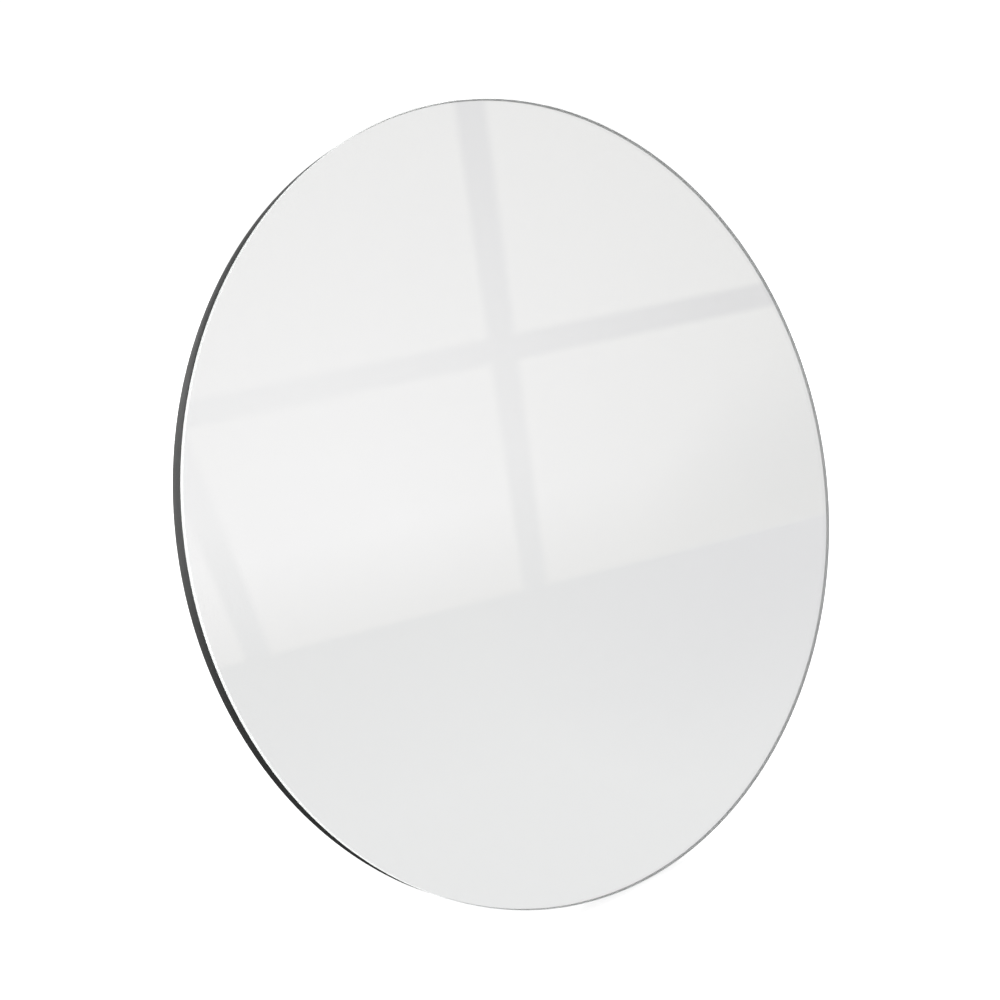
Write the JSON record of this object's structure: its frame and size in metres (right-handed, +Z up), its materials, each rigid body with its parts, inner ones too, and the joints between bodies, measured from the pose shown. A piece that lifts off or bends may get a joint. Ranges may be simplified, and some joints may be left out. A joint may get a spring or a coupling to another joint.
{
  "type": "countertop mirror",
  "caption": "Frameless round countertop mirror, glass on a black backboard, leaning back on a folding easel leg.",
  "frame": {"origin": "centre of the footprint's bounding box, on the counter", "axes": "+Z up, the mirror faces -Y and leans back towards +Y, +X is to the right of a person who looks into the mirror"},
  "size_m": [0.3, 0.1316, 0.2883],
  "materials": {
    "float_glass": "polished faces, ground edges",
    "silver": "mirror-bright silver",
    "backing_paint": "matt grey paint",
    "adhesive": "soft clear-white film",
    "black_lacquer": "satin black lacquer over fibreboard",
    "zinc_steel": "zinc-plated, lightly brushed",
    "plated_steel": "nickel-plated",
    "rubber": "matt black",
    "polished_steel": "turned and polished",
    "nylon": "natural nylon",
    "spring_steel": "dark oxide",
    "powder_coat": "fine-textured black powder coat"
  },
  "bodies": {
    "mirror": {"mirror_glass": "float_glass", "silver_coat": "silver", "protective_paint": "backing_paint", "adhesive_film": "adhesive", "backboard": "black_lacquer", "hinge_bracket": "zinc_steel", "bracket_screws": "plated_steel", "stop_pad": "rubber", "hinge_pin": "polished_steel", "hinge_washer_left": "nylon", "hinge_washer_right": "nylon", "pin_clip": "spring_steel", "front_foot": "rubber", "front_foot_screws": "plated_steel", "leg_buffer_left": "rubber", "leg_buffer_right": "rubber"},
    "leg": {"easel_leg": "powder_coat", "leg_shoe_left": "rubber", "leg_shoe_right": "rubber"}
  },
  "joints": [
    {"name": "leg_fold", "type": "hinge", "parent": "mirror", "child": "leg", "pos_m": [0, 0.02043, 0.21687], "axis": [-1, 0, 0], "range_deg": [0, 28]}
  ]
}
